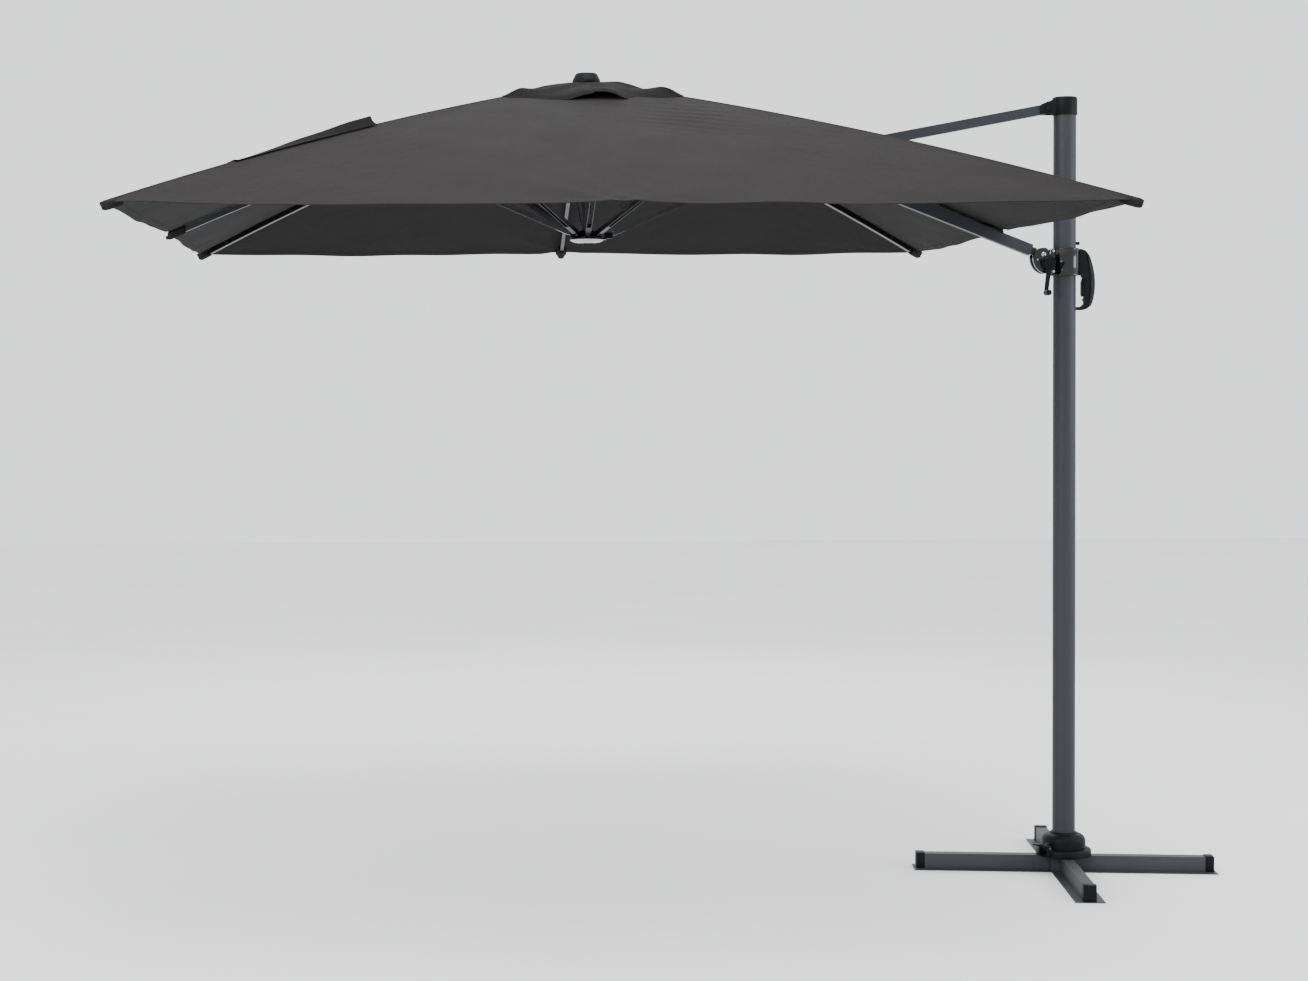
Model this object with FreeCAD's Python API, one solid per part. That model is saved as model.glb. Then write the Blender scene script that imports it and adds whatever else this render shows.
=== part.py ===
"""Cantilever parasol: cross base, turning mast, sliding handle, boom and link arm, eight-rib canopy.

Millimetres, +Z up. The origin is on the ground under the mast axis, and the canopy hangs towards -X.
The parasol stands open, with the handle against its upper stop.
"""
import FreeCAD, Part
import math
import os

os.makedirs("parts", exist_ok=True)
V = FreeCAD.Vector
Z_AXIS = V(0, 0, 1)

# Base cross
CROSS_YAW = -6.0
LEG_REACH = 520.0
LEG_ROOT = 50.3
LEG_WIDTH = 40.0
LEG_TOP = 55.0
FLANGE_WIDTH = 100.0
SHEET = 3.0
LEG_CAP = 30.0
HUB_PLATE_R = 84.0
HUB_PLATE_TOP = 61.0
SPINDLE_R = 30.0
SPINDLE_TOP = 400.0
RING_R = 95.5
RING_TOP = 82.0
LEG_BOLT_R = 5.0
LEG_BOLT_PLACE = 70.0
PEDAL_AZIMUTH = 219.0
PEDAL_PIVOT = (108.0, 92.0)

# Mast
MAST_R = 39.5
MAST_WALL = 2.5
MAST_FOOT = 86.0
MAST_TOP = 2700.0
STOP_Z = 2226.5
COVER_R = 76.0
COVER_TOP = 137.0
CAP_R = 43.5
CAP_BOTTOM = 2679.0
CAP_TOP = 2743.0

# Arm pivots in the plane y = 0, as (x, z)
LINK_PIVOT = (-65.0, 2701.0)
BOOM_PIVOT = (-82.0, 2187.0)
KNEE = (-957.0, 2535.0)
BOOM_DEPTH = 40.0
BOOM_WIDTH = 34.8
LINK_DEPTH = 34.0
LINK_WIDTH = 36.0
PIN_R = 5.0
PIN_PLAY = 0.1
KNEE_PIN_R = 6.0

# Slider
SLIDER_BOTTOM = 2111.0
SLIDER_TOP = 2209.0
SLIDER_R = 52.0
WINCH = (-68.0, 2156.0)
TRIGGER_PIVOT = (70.0, 2100.0)
CRANK_REACH = 106.0

# Canopy
CROWN_X = -1694.0
BOOM_HEAD = (CROWN_X + 52.0, 2716.0)
CANOPY_HALF = 1500.0
SIDE_DIP = 28.0
CROWN_Z = 2786.0
EDGE_Z = 2274.0
BOW_SIDE = 25.0
BOW_CORNER = 30.0
CLOTH = 1.2
RIB_GAP = 3.5
RIB_WIDTH = 14.0
RIB_DEPTH = 20.0
RIB_PIVOT_R = 60.0
VENT_HALF = 170.0
COVER_HALF = 305.0
MAST_RIB_SHIFT = 40.0
MAST_RIB_PIVOT = 80.0
BRACE_R = 720.0
MAST_BRACE_R = 745.0
BRACE_DEPTH = 16.0
BRACE_BLOCK = 60.0
RUNNER_Z = 2262.0
RUNNER_PIVOT_R = 48.0
MAST_BRACE_PIVOT = 84.0
POST_R = 14.0
SPLIT_GAP = 0.4
RIB_PIN_R = 3.0
RIB_BORE_R = 3.1
BRACE_BAR = (7.7, 10.2)
COVER_START = 44.0
COVER_RISE = 7.0
BOOM_SLOT_X = (-988.0, -836.0)
BOOM_SLOT_HALF = 28.0
STRAP_REACH = (1060.0, 1640.0)
STRAP_WIDTH = 45.0
STRAP_TILT = 16.0

DIRECTIONS = {
    "mast": 0, "back_right": 45, "back": 90, "back_left": 135,
    "outer": 180, "front_left": 225, "front": 270, "front_right": 315,
}


def save(name, *shapes):
    """Write one sub-part, as one solid or as a group of separate solids."""
    shape = shapes[0] if len(shapes) == 1 else Part.makeCompound(list(shapes))
    shape.exportStep("parts/%s.step" % name)


def box(x0, x1, y0, y1, z0, z1):
    return Part.makeBox(x1 - x0, y1 - y0, z1 - z0, V(x0, y0, z0))


def rod(start, end, radius):
    axis = end - start
    return Part.makeCylinder(radius, axis.Length, start, axis)


def across(x, z, radius, half):
    """A cylinder along Y, centred on the plane y = 0."""
    return rod(V(x, -half, z), V(x, half, z), radius)


def turned(shape, degrees, centre=V(0, 0, 0), axis=Z_AXIS):
    copy = shape.copy()
    copy.rotate(centre, axis, degrees)
    return copy


def moved(shape, x=0.0, y=0.0, z=0.0):
    copy = shape.copy()
    copy.translate(V(x, y, z))
    return copy


def lathe(profile):
    """Turn a closed outline of (radius, height) points about the Z axis."""
    wire = Part.makePolygon([V(r, 0, z) for r, z in profile + profile[:1]])
    return Part.Face(wire).revolve(V(0, 0, 0), Z_AXIS, 360)


def plate_xz(points, y0, y1):
    """Extrude a closed outline of (x, z) points from y0 to y1."""
    wire = Part.makePolygon([V(x, y0, z) for x, z in points + points[:1]])
    return Part.Face(wire).extrude(V(0, y1 - y0, 0))


def joined(*shapes):
    result = shapes[0].fuse(list(shapes[1:])).removeSplitter()
    return result.Solids[0] if len(result.Solids) == 1 else result


def along(start, end, distance, side=0.0):
    """A point (x, z) that lies a distance from start towards end, and to the left of that line."""
    length = math.dist(start, end)
    ux, uz = (end[0] - start[0]) / length, (end[1] - start[1]) / length
    return start[0] + ux * distance - uz * side, start[1] + uz * distance + ux * side


def bar_xz(start, end, depth, y0, y1):
    """A straight bar between two (x, z) points, square to its line."""
    length = math.dist(start, end)
    corners = [(0, depth / 2), (length, depth / 2), (length, -depth / 2), (0, -depth / 2)]
    return plate_xz([along(start, end, d, s) for d, s in corners], y0, y1)


# Base ------------------------------------------------------------------------------------------

def make_leg():
    half, flange = LEG_WIDTH / 2, FLANGE_WIDTH / 2
    outline = [(-flange, 0), (flange, 0), (flange, SHEET), (half, SHEET), (half, LEG_TOP),
               (-half, LEG_TOP), (-half, SHEET), (-flange, SHEET)]
    length = LEG_REACH - LEG_CAP - LEG_ROOT
    wire = Part.makePolygon([V(LEG_ROOT, y, z) for y, z in outline + outline[:1]])
    solid = Part.Face(wire).extrude(V(length, 0, 0))
    flange_tail = box(LEG_REACH - LEG_CAP, LEG_REACH + 8, -flange, flange, 0, SHEET)
    tip = flange_tail.cut(turned(box(0, 90, -90, 0, -1, 9), -38, V(LEG_REACH - 30, -flange, 0)))
    hollow = box(LEG_ROOT - 1, LEG_REACH, -half + SHEET, half - SHEET, SHEET, LEG_TOP - SHEET)
    hole = rod(V(LEG_BOLT_PLACE, 0, 40), V(LEG_BOLT_PLACE, 0, 60), LEG_BOLT_R + 0.3)
    return joined(solid, tip).cut(hollow).cut(hole)


def make_leg_cap():
    half = LEG_WIDTH / 2 + 2
    start = LEG_REACH - LEG_CAP
    shell = box(start + 0.2, LEG_REACH, -half, half, SHEET + 0.2, LEG_TOP + 3)
    plug = box(start - 18, start + 0.2, -half + 5.3, half - 5.3, SHEET + 0.3, LEG_TOP - SHEET - 0.3)
    front_edges = [e for e in shell.Edges if e.BoundBox.XMin > LEG_REACH - 1]
    return joined(shell.makeFillet(3, front_edges), plug)


def make_base_centre():
    half = LEG_ROOT - 0.3
    block = box(-half, half, -half, half, 0, LEG_TOP)
    pocket = box(-half + 5, half - 5, -half + 5, half - 5, 5, LEG_TOP)
    plate = rod(V(0, 0, LEG_TOP), V(0, 0, HUB_PLATE_TOP), HUB_PLATE_R)
    spindle = rod(V(0, 0, LEG_TOP), V(0, 0, SPINDLE_TOP), SPINDLE_R)
    bore = rod(V(0, 0, HUB_PLATE_TOP), V(0, 0, SPINDLE_TOP + 1), SPINDLE_R - 4)
    solid = joined(block.cut(pocket), plate, spindle).cut(bore)
    for k in range(4):
        place = turned(rod(V(LEG_BOLT_PLACE, 0, 40), V(LEG_BOLT_PLACE, 0, 70), LEG_BOLT_R + 0.3), 90 * k)
        solid = solid.cut(place)
    return solid


def make_leg_bolt():
    shank = rod(V(LEG_BOLT_PLACE, 0, 44), V(LEG_BOLT_PLACE, 0, HUB_PLATE_TOP), LEG_BOLT_R)
    hexagon = Part.makePolygon([V(LEG_BOLT_PLACE + 8.5 * math.cos(math.radians(a)),
                                  8.5 * math.sin(math.radians(a)), HUB_PLATE_TOP)
                                for a in range(0, 361, 60)])
    return joined(shank, Part.Face(hexagon).extrude(V(0, 0, 6)))


def make_fixed_ring():
    """The ground ring that hides the leg bolts, with the ears that carry the lock pedal."""
    profile = [(RING_R, LEG_TOP + 0.2), (RING_R, 74), (RING_R - 3, 79), (RING_R - 9, RING_TOP),
               (44, RING_TOP), (44, 78), (87, 78), (89, 74), (89, LEG_TOP + 0.2)]
    ring = lathe(profile)
    r, z = PEDAL_PIVOT
    ears = []
    for side in (-1, 1):
        ear = plate_xz([(88, 62), (r + 8, 62), (r + 11, 70), (r + 9, z + 8), (r - 4, z + 9), (90, 82)],
                       side * 17 - 2.5, side * 17 + 2.5)
        ears.append(turned(ear, PEDAL_AZIMUTH))
    hollow = turned(across(r, z, 4.1, 30), PEDAL_AZIMUTH)
    return joined(ring, *ears).cut(hollow)


def make_pedal():
    r, z = PEDAL_PIVOT
    barrel = across(r, z, 8, 13.8)
    blade = plate_xz([(r, z - 6), (r + 42, z + 14), (r + 56, z + 16), (r + 57, z + 21),
                      (r + 40, z + 21), (r - 2, z + 5)], -11, 11)
    tongue = plate_xz([(r + 3, z - 4), (r - 21, z + 6), (r - 23, z + 14), (r - 16, z + 16), (r, z + 7)],
                      -6, 6)
    solid = joined(barrel, blade, tongue).cut(across(r, z, 4.1, 30))
    return turned(solid, PEDAL_AZIMUTH)


# Mast ------------------------------------------------------------------------------------------

def make_mast_tube():
    outer = rod(V(0, 0, MAST_FOOT), V(0, 0, MAST_TOP), MAST_R)
    inner = rod(V(0, 0, MAST_FOOT - 1), V(0, 0, MAST_TOP + 1), MAST_R - MAST_WALL)
    stop_hole = rod(V(20, 0, STOP_Z), V(60, 0, STOP_Z), 6)
    return outer.cut(inner).cut(stop_hole)


def make_turn_bush():
    """The plastic bush that centres the mast on its spindle."""
    profile = [(SPINDLE_R + 0.1, 340), (MAST_R - MAST_WALL, 340), (MAST_R - MAST_WALL, 392),
               (SPINDLE_R + 0.1, 392)]
    low = [(r, z - 250) for r, z in profile]
    return lathe(profile), lathe(low)


def make_foot_cover():
    shoulder = []
    for a in range(0, 91, 15):
        angle = math.radians(a)
        shoulder.append((COVER_R - 26 + 26 * math.cos(angle), 106 + 26 * math.sin(angle)))
    profile = [(COVER_R, 83)] + shoulder + [(46, COVER_TOP), (MAST_R, COVER_TOP), (MAST_R, 86), (60, 83)]
    return lathe(profile)


def make_top_cap():
    x, z = LINK_PIVOT
    round_top = rod(V(0, 0, CAP_BOTTOM), V(0, 0, CAP_TOP), CAP_R)
    round_top = round_top.makeFillet(7, [e for e in round_top.Edges if e.BoundBox.ZMin > CAP_TOP - 1])
    nose = plate_xz([(-10, 2681), (x - 24, 2681), (x - 28, 2686), (x - 28, z + 5), (x - 24, z + 12),
                     (x - 10, z + 21), (-45, 2733), (-10, 2741)], -24, 24)
    slot = box(x - 40, x + 19.5, -LINK_WIDTH / 2 - 0.6, LINK_WIDTH / 2 + 0.6, 2670, z + 22)
    socket = rod(V(0, 0, CAP_BOTTOM - 1), V(0, 0, MAST_TOP), MAST_R)
    return joined(round_top, nose).cut(slot).cut(socket).cut(across(x, z, PIN_R, 60))


def make_mast_pins():
    x, z = LINK_PIVOT
    pin = joined(across(x, z, PIN_R, 25), rod(V(x, -28, z), V(x, -24.2, z), 9),
                 rod(V(x, 24.2, z), V(x, 28, z), 9))
    stop = rod(V(MAST_R - MAST_WALL, 0, STOP_Z), V(53, 0, STOP_Z), 5.9)
    return pin, stop


# Slider ----------------------------------------------------------------------------------------

def make_collar():
    profile = [(44, SLIDER_BOTTOM), (SLIDER_R - 3, SLIDER_BOTTOM), (SLIDER_R, SLIDER_BOTTOM + 4),
               (SLIDER_R, 2132), (SLIDER_R - 3, 2137), (SLIDER_R - 3, 2183), (SLIDER_R, 2188),
               (SLIDER_R, SLIDER_TOP - 4), (SLIDER_R - 3, SLIDER_TOP), (44, SLIDER_TOP)]
    return lathe(profile)


def make_liner():
    gap = MAST_R + 0.3
    return lathe([(gap, SLIDER_BOTTOM), (44, SLIDER_BOTTOM), (44, SLIDER_TOP), (gap, SLIDER_TOP)])


def make_housing():
    """Two cheeks on the collar that carry the boom's pin and the winch."""
    outline = [(-40, 2121), (-72, 2119), (-92, 2126), (-104, 2142), (-106, 2160), (-116, 2178),
               (-116, 2196), (-104, 2207), (-60, 2208), (-40, 2204)]
    window = [(-50, 2172), (-60, 2190), (-56, 2200), (-50, 2200)]
    solids = []
    for low, high in ((-30, -12), (12, 30)):
        cheek = plate_xz(outline, low, high).cut(plate_xz(window, low - 1, high + 1))
        solids.append(cheek)
    web = box(-56, -40, -12, 12, 2121, 2134)
    block = joined(solids[0], solids[1], web)
    block = block.cut(rod(V(0, 0, 2100), V(0, 0, 2220), SLIDER_R + 0.01))
    block = block.cut(across(*BOOM_PIVOT, PIN_R, 60))
    return block.cut(across(*WINCH, 7.2, 60))


def make_slider_pins():
    x, z = BOOM_PIVOT
    pin = joined(across(x, z, PIN_R, 30), rod(V(x, -33, z), V(x, -30, z), 8.5),
                 rod(V(x, 30, z), V(x, 33, z), 8.5))
    screws = [rod(V(sx, -33, sz), V(sx, -30, sz), 4) for sx, sz in ((-103, 2190), (-98, 2146), (-58, 2203))]
    return [pin] + screws


def make_grip():
    """The D-shaped pull handle. Its outer back is a long curve, and fingers go between it and the mast."""
    outer = [(46, 2204), (70, 2206), (88, 2196), (100, 2172), (107, 2135), (107, 2095), (102, 2050),
             (92, 2010), (80, 1990), (62, 1986), (41.5, 1988)]
    ridges = []
    for k in range(5):
        top = 2003 + 20 * k
        ridges += [(65.5, top + 2), (63, top + 10), (65.5, top + 18)]
    inner = [(41.5, 2002), (60, 2002)] + ridges + [(60, 2108), (46, 2112)]
    solid = plate_xz(outer + inner, -13, 13)
    rounded = [e for e in solid.Edges if abs(e.BoundBox.YLength) < 0.01 and e.BoundBox.XMin > 81]
    solid = solid.makeFillet(5, rounded)
    lightening = [(84, 2168), (94, 2136), (94, 2096), (89, 2056), (82, 2030), (80, 2060), (80, 2140)]
    solid = solid.cut(plate_xz(lightening, -14, -7)).cut(plate_xz(lightening, 7, 14))
    pocket = box(54, 79, -8.5, 8.5, 2030, 2107)
    upper = rod(V(0, 0, 2105), V(0, 0, 2210), SLIDER_R + 0.01)
    clear = rod(V(0, 0, 1980), V(0, 0, 2105), MAST_R + 1.5)
    trigger_pin = across(*TRIGGER_PIVOT, 2.0, 9)
    return joined(solid.cut(upper).cut(clear).cut(pocket), trigger_pin)


def make_trigger():
    lever = plate_xz([(66, 2105), (74, 2105), (75, 2096), (66, 2086), (65, 2060), (66, 2040), (60, 2037),
                      (58, 2046), (58, 2088), (61, 2100)], -7.5, 7.5)
    return lever.cut(across(*TRIGGER_PIVOT, 2.3, 20))


def make_drum():
    x, z = WINCH
    spool = across(x, z, 11, 10)
    rims = [rod(V(x, y, z), V(x, y + 2, z), 18) for y in (-11, 9)]
    return joined(spool, *rims).cut(across(x, z, 7.1, 20))


def make_crank():
    x, z = WINCH
    shaft = rod(V(x, -40, z), V(x, 28, z), 7)
    ring = rod(V(x, -38, z), V(x, -30.4, z), 24)
    boss = rod(V(x, -62, z), V(x, -38, z), 20)
    dish = rod(V(x, -63, z), V(x, -60, z), 12)
    end = (x - 13, z - CRANK_REACH)
    arm = bar_xz((x, z), end, 18, -60, -54)
    foot = rod(V(end[0], -60, end[1]), V(end[0], -54, end[1]), 9)
    pin = rod(V(end[0], -98, end[1]), V(end[0], -54, end[1]), 4)
    return joined(shaft, ring, boss, arm, foot, pin).cut(dish)


def make_knob():
    x, z = WINCH[0] - 13, WINCH[1] - CRANK_REACH
    body = rod(V(x, -99, z), V(x, -60.6, z), 10)
    body = body.makeFillet(3, [e for e in body.Edges if abs(e.BoundBox.YLength) < 0.01])
    return body.cut(rod(V(x, -98.4, z), V(x, -60, z), 4.3))


# Boom and link ---------------------------------------------------------------------------------

def boom_band(depth, y0, y1, start):
    """The bent boom's side outline, square at its foot and mitred at the knee."""
    half = depth / 2
    low_start = along(BOOM_PIVOT, KNEE, start, half)
    high_start = along(BOOM_PIVOT, KNEE, start, -half)
    angle_a = math.atan2(KNEE[1] - BOOM_PIVOT[1], KNEE[0] - BOOM_PIVOT[0])
    angle_b = math.atan2(BOOM_HEAD[1] - KNEE[1], BOOM_HEAD[0] - KNEE[0])
    middle = (angle_a + angle_b) / 2 + math.pi / 2
    reach = half / math.cos((angle_b - angle_a) / 2)
    low_knee = (KNEE[0] + reach * math.cos(middle), KNEE[1] + reach * math.sin(middle))
    high_knee = (KNEE[0] - reach * math.cos(middle), KNEE[1] - reach * math.sin(middle))
    length = math.dist(KNEE, BOOM_HEAD)
    low_end = along(KNEE, BOOM_HEAD, length, half)
    high_end = along(KNEE, BOOM_HEAD, length, -half)
    return plate_xz([low_start, low_knee, low_end, high_end, high_knee, high_start], y0, y1)


def make_boom():
    half = BOOM_WIDTH / 2
    outer = boom_band(BOOM_DEPTH, -half, half, 46)
    inner = boom_band(BOOM_DEPTH - 4, -half + 2, half - 2, 45)
    return outer.cut(inner).cut(across(*KNEE, KNEE_PIN_R, 40))


def make_boom_foot():
    """The cast tongue that plugs the boom and turns on the slider's pin."""
    half = BOOM_WIDTH / 2 - 2.05
    plug = bar_xz(along(BOOM_PIVOT, KNEE, 46), along(BOOM_PIVOT, KNEE, 130), BOOM_DEPTH - 4.1, -half, half)
    collar = bar_xz(along(BOOM_PIVOT, KNEE, 43), along(BOOM_PIVOT, KNEE, 46), BOOM_DEPTH,
                    -BOOM_WIDTH / 2, BOOM_WIDTH / 2)
    neck = bar_xz(BOOM_PIVOT, along(BOOM_PIVOT, KNEE, 44), 26, -10, 10)
    eye = across(*BOOM_PIVOT, 16, 10)
    return joined(plug, collar, neck, eye).cut(across(*BOOM_PIVOT, PIN_R + PIN_PLAY, 40))


def make_knee_pin():
    """The pin through the boom that the link's fork hangs from."""
    return across(*KNEE, KNEE_PIN_R, BOOM_WIDTH / 2 + 0.2)


def make_link():
    """The upper tie between the mast's cap and the boom's knee."""
    half = LINK_WIDTH / 2
    outer = bar_xz(along(KNEE, LINK_PIVOT, 82), LINK_PIVOT, LINK_DEPTH, -half, half)
    inner = bar_xz(along(KNEE, LINK_PIVOT, 81), along(LINK_PIVOT, KNEE, 30), LINK_DEPTH - 4,
                   -half + 2, half - 2)
    eye = across(*LINK_PIVOT, LINK_DEPTH / 2, half)
    return joined(outer, eye).cut(inner).cut(across(*LINK_PIVOT, PIN_R + PIN_PLAY, 40))


def make_link_fork():
    """Two flat cheeks that carry the link's lower end down either side of the boom."""
    half = LINK_WIDTH / 2
    cheeks = []
    for low, high in ((-half - 4, -half), (half, half + 4)):
        bar = bar_xz(KNEE, along(KNEE, LINK_PIVOT, 150), LINK_DEPTH, low, high)
        eye = rod(V(KNEE[0], low, KNEE[1]), V(KNEE[0], high, KNEE[1]), LINK_DEPTH / 2)
        cheeks.append(joined(bar, eye))
    heads = []
    for distance in (100, 135):
        x, z = along(KNEE, LINK_PIVOT, distance)
        for low, high in ((-half - 7, -half - 4), (half + 4, half + 7)):
            heads.append(rod(V(x, low, z), V(x, high, z), 6))
    return [joined(*cheeks[:1], *heads[0::2]), joined(*cheeks[1:], *heads[1::2])]


# Canopy ----------------------------------------------------------------------------------------

def is_corner(degrees):
    return degrees % 90 == 45


def cloth_poles(degrees, drop=0.0):
    """Three control points of the parabola that the cloth follows over a rib."""
    reach = CANOPY_HALF * math.sqrt(2) if is_corner(degrees) else CANOPY_HALF - SIDE_DIP
    bow = BOW_CORNER if is_corner(degrees) else BOW_SIDE
    angle = math.radians(degrees)
    direction = V(math.cos(angle), math.sin(angle), 0)
    start = direction * RIB_PIVOT_R + V(CROWN_X, 0, CROWN_Z - drop)
    end = direction * reach + V(CROWN_X, 0, EDGE_Z - drop)
    return [start, (start + end) * 0.5 + V(0, 0, 2 * bow), end]


def curve(poles, first=0.0, last=1.0):
    """The stretch of a parabola between two shares of its length."""
    bezier = Part.BezierCurve()
    bezier.setPoles(poles)
    bezier.segment(first, last)
    return bezier.toShape()


def sheet_solid(edge_a, edge_b, thickness):
    """A closed solid under the ruled surface between two edges."""
    down = V(0, 0, -thickness)
    low_a, low_b = edge_a.copy(), edge_b.copy()
    low_a.translate(down)
    low_b.translate(down)
    ends = []
    for k in (0, 1):
        corners = [edge_a.Vertexes[k].Point, edge_b.Vertexes[k].Point,
                   low_b.Vertexes[k].Point, low_a.Vertexes[k].Point]
        ends.append(Part.Face(Part.makePolygon(corners + corners[:1])))
    faces = [Part.makeRuledSurface(edge_a, edge_b), Part.makeRuledSurface(low_a, low_b),
             Part.makeRuledSurface(edge_a, low_a), Part.makeRuledSurface(edge_b, low_b)] + ends
    shell = Part.makeShell(faces)
    shell.sewShape()
    solid = Part.makeSolid(Part.Shell(shell.Faces) if shell.ShapeType != "Shell" else shell)
    return solid if solid.Volume > 0 else solid.reversed()


def vent_share(degrees):
    """Where the vent's square hole cuts a rib's curve, as a share of the curve."""
    reach = CANOPY_HALF * math.sqrt(2) if is_corner(degrees) else CANOPY_HALF - SIDE_DIP
    hole = VENT_HALF * math.sqrt(2) if is_corner(degrees) else VENT_HALF
    return (hole - RIB_PIVOT_R) / (reach - RIB_PIVOT_R)


def cloth_half(degrees, neighbour):
    """Half a gore: from over a rib to just short of the line midway to the next rib."""
    own, other = cloth_poles(degrees), cloth_poles(neighbour)
    shares = vent_share(degrees), vent_share(neighbour)
    middle = [(a + b) * 0.5 for a, b in zip(own, other)]
    back = (middle[2] - own[2])
    back.normalize()
    middle = [p - back * SPLIT_GAP for p in middle]
    return sheet_solid(curve(own, shares[0]), curve(middle, sum(shares) / 2), CLOTH)


def make_cloth(name, degrees):
    cloth = cloth_half(degrees, degrees + 45).fuse(cloth_half(degrees, degrees - 45))
    if name == "mast":
        cloth = cloth.cut(box(*BOOM_SLOT_X, -BOOM_SLOT_HALF, BOOM_SLOT_HALF, EDGE_Z, MAST_TOP))
    return cloth.Solids[0] if len(cloth.Solids) == 1 else cloth


def rib_frame(name, degrees):
    """(start radius, sideways shift) of a rib. The mast-side rib sits beside the boom, to fold past it."""
    if name == "mast":
        return MAST_RIB_PIVOT, MAST_RIB_SHIFT
    return RIB_PIVOT_R, 0.0


def rib_height(degrees, radius):
    """Height of the rib's centre line at a radius."""
    poles = cloth_poles(degrees, CLOTH + RIB_GAP + RIB_DEPTH / 2)
    reach = math.hypot(poles[2].x - CROWN_X, poles[2].y)
    t = (radius - RIB_PIVOT_R) / (reach - RIB_PIVOT_R)
    return poles[0].z * (1 - t) ** 2 + 2 * poles[1].z * t * (1 - t) + poles[2].z * t * t


def rib_reach(degrees):
    return CANOPY_HALF * math.sqrt(2) - 16 if is_corner(degrees) else CANOPY_HALF - SIDE_DIP - 8


def rib_bezier(degrees, first, last, rise):
    """An edge along a rib, in the XZ plane about the crown, raised or lowered from its centre line."""
    span = last - first
    z0, z1 = rib_height(degrees, first) + rise, rib_height(degrees, last) + rise
    middle = rib_height(degrees, (first + last) / 2) + rise
    bezier = Part.BezierCurve()
    bezier.setPoles([V(first, 0, z0), V(first + span / 2, 0, 2 * middle - (z0 + z1) / 2), V(last, 0, z1)])
    return bezier.toShape()


def rib_band(degrees, first, last, depth, width):
    top = rib_bezier(degrees, first, last, depth / 2)
    bottom = rib_bezier(degrees, first, last, -depth / 2)
    ends = [Part.makeLine(top.Vertexes[k].Point, bottom.Vertexes[k].Point) for k in (0, 1)]
    wire = Part.Wire(Part.__sortEdges__([top, ends[0], bottom, ends[1]]))
    band = Part.Face(wire).extrude(V(0, width, 0))
    return moved(band, y=-width / 2)


def place_on_canopy(shape, degrees, shift=0.0):
    return moved(turned(moved(shape, y=shift), degrees), x=CROWN_X)


def make_rib(name, degrees):
    pivot, shift = rib_frame(name, degrees)
    reach = rib_reach(degrees)
    outer = rib_band(degrees, pivot, reach, RIB_DEPTH, RIB_WIDTH)
    inner = rib_band(degrees, pivot + 25, reach - 20, RIB_DEPTH - 3, RIB_WIDTH - 3)
    height = rib_height(degrees, pivot)
    eye = across(pivot, height, RIB_DEPTH / 2, RIB_WIDTH / 2)
    rib = joined(outer, eye).cut(inner).cut(across(pivot, height, RIB_BORE_R, 20))
    tip_z = rib_height(degrees, reach)
    tip = rod(V(reach - 6, 0, tip_z - 2), V(reach + 6, 0, tip_z - 5), 8)
    return place_on_canopy(joined(rib, tip), degrees, shift)


def brace_points(name, degrees):
    """(x, z) of a brace's two pivots about the crown: on the runner, and on the rib."""
    inner, outer = (MAST_BRACE_PIVOT, MAST_BRACE_R) if name == "mast" else (RUNNER_PIVOT_R, BRACE_R)
    return (inner, RUNNER_Z), (outer, rib_height(degrees, outer))


def make_brace(name, degrees):
    """Twin flat bars that straddle the rib, joined by a block at the runner's end only."""
    foot, head = brace_points(name, degrees)
    eye = across(*foot, 8, 5.5)
    neck = bar_xz(foot, along(foot, head, BRACE_BLOCK), 12, -5.5, 5.5)
    block = bar_xz(along(foot, head, 16), along(foot, head, BRACE_BLOCK), BRACE_DEPTH, -8, 8)
    bars = []
    for low, high in ((-BRACE_BAR[1], -BRACE_BAR[0]), BRACE_BAR):
        bars.append(bar_xz(along(foot, head, 16), head, BRACE_DEPTH, low, high))
        bars.append(rod(V(head[0], low, head[1]), V(head[0], high, head[1]), BRACE_DEPTH / 2))
    solid = joined(eye, neck, block, *bars).cut(across(*foot, RIB_BORE_R, 20))
    return place_on_canopy(solid, degrees, rib_frame(name, degrees)[1])


def clevis(pivot, height, low, high, inner_half, root):
    """A pair of ears with their pin, radially out from root, for a member that is 2 x inner_half wide."""
    ears = []
    for side in (-1, 1):
        y = side * (inner_half + 2.2)
        ears.append(box(root, pivot + 9, y - 1.4, y + 1.4, low, high))
    return ears + [across(pivot, height, RIB_PIN_R, inner_half + 3.6)]


def make_crown_hub():
    """The fixed hub at the top of the post: rib clevises, and the lug that the boom is bolted over."""
    height = rib_height(0, RIB_PIVOT_R)
    low, high = height - 12, height + 10
    shapes = [rod(V(0, 0, low), V(0, 0, high), 40), rod(V(0, 0, 2690), V(0, 0, low), 30)]
    for name, degrees in DIRECTIONS.items():
        if name != "mast":
            z = rib_height(degrees, RIB_PIVOT_R)
            shapes += [turned(s, degrees) for s in clevis(RIB_PIVOT_R, z, low, high, 7, 30)]
    mast_z = rib_height(0, MAST_RIB_PIVOT)
    mast_ears = clevis(MAST_RIB_PIVOT, mast_z, mast_z - 9, mast_z + 9, 7, 66)
    shapes += [moved(s, y=MAST_RIB_SHIFT) for s in mast_ears]
    arm_y = MAST_RIB_SHIFT - 16
    shapes.append(box(20, 70, arm_y, arm_y + 5, mast_z - 9, mast_z + 9))
    shapes.append(box(64, 69, arm_y, MAST_RIB_SHIFT + 10.6, mast_z - 9, mast_z + 9))
    hub = moved(joined(*shapes), x=CROWN_X)
    lug = bar_xz(along(BOOM_HEAD, KNEE, -30), along(BOOM_HEAD, KNEE, 60), BOOM_DEPTH - 5, -15.2, 15.2)
    bore = rod(V(CROWN_X, 0, 2680), V(CROWN_X, 0, height + 1), POST_R)
    return joined(hub, lug).cut(bore)


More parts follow.
